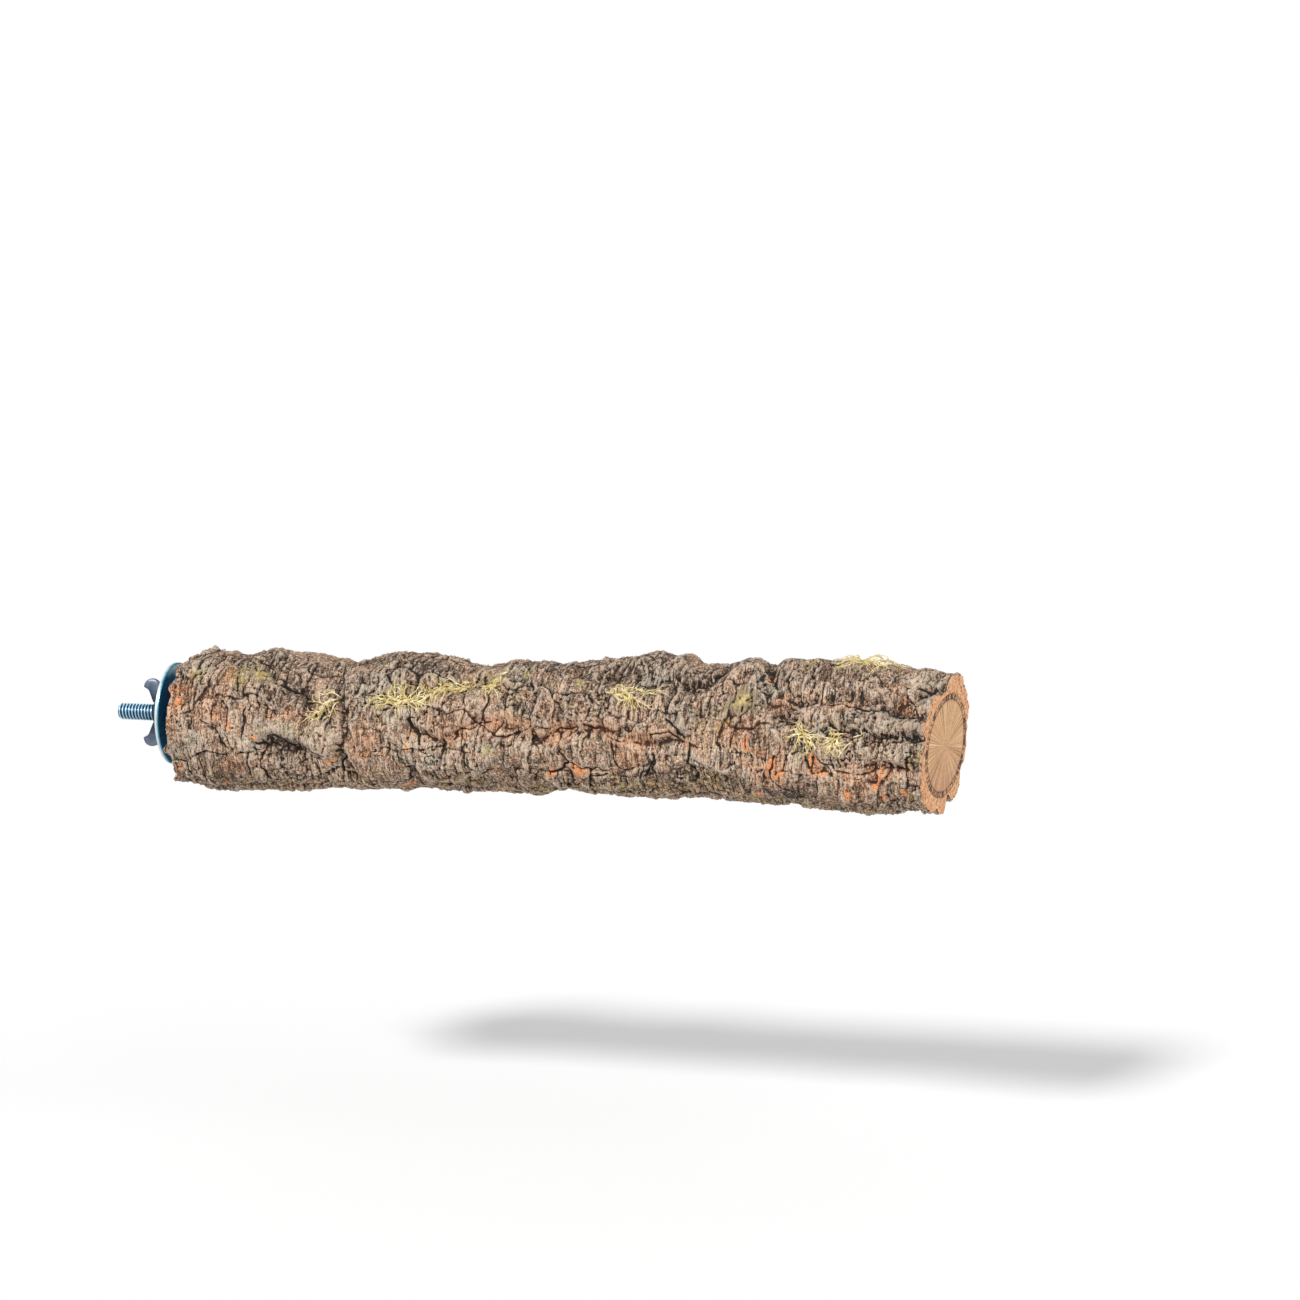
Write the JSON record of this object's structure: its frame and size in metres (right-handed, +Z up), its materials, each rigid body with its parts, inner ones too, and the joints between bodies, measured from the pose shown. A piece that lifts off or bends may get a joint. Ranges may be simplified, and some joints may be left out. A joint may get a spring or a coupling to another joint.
{
  "type": "bird perch",
  "caption": "Natural branch perch: a sawn log in rough bark with lichen, held to a wire panel between wide washers by a hanger bolt and a wing nut.",
  "frame": {"origin": "on the bolt, in the panel face of the inner washer, where the perch bears on the wire panel", "axes": "+X out along the perch away from the panel, +Z up, -Y the front of the log that the picture shows"},
  "size_m": [0.3194, 0.0559, 0.0583],
  "materials": {
    "wood": "sawn end grain, pale tan with fine rays and a brown middle",
    "inner_bark": "dark red-brown sawn inner bark with pale specks",
    "cork_bark": "deeply furrowed grey-brown cork bark, orange where it is fresh",
    "zinc_steel": "bright blue-white zinc plate",
    "beard_lichen": "pale yellow-green threads",
    "crust_lichen": "matt grey-green to yellow crust"
  },
  "bodies": {
    "perch": {"wood_core": "wood", "inner_bark": "inner_bark", "cork_bark": "cork_bark", "hanger_bolt": "zinc_steel", "inner_washer": "zinc_steel", "beard_lichen_left": "beard_lichen", "beard_lichen_band": "beard_lichen", "beard_lichen_band_end": "beard_lichen", "beard_lichen_middle": "beard_lichen", "beard_lichen_hollow": "beard_lichen", "beard_lichen_right": "beard_lichen", "beard_lichen_right_fan": "beard_lichen", "beard_lichen_top": "beard_lichen", "crust_lichen_green": "crust_lichen", "crust_lichen_yellow": "crust_lichen"},
    "outer_washer": {"outer_washer": "zinc_steel"},
    "wing_nut": {"wing_nut": "zinc_steel"}
  },
  "joints": [
    {"name": "washer_slide", "type": "slide", "parent": "perch", "child": "outer_washer", "axis": [-1, 0, 0], "range_m": [0, 0.0204]},
    {"name": "nut_turn", "type": "hinge", "parent": "outer_washer", "child": "wing_nut", "pos_m": [-0.0062, 0, 0], "axis": [-1, 0, 0], "range_deg": [0, 5760]}
  ],
  "couplings": [
    {"joint": "washer_slide", "follows": "nut_turn", "m_per_rad": 0.00020213}
  ]
}
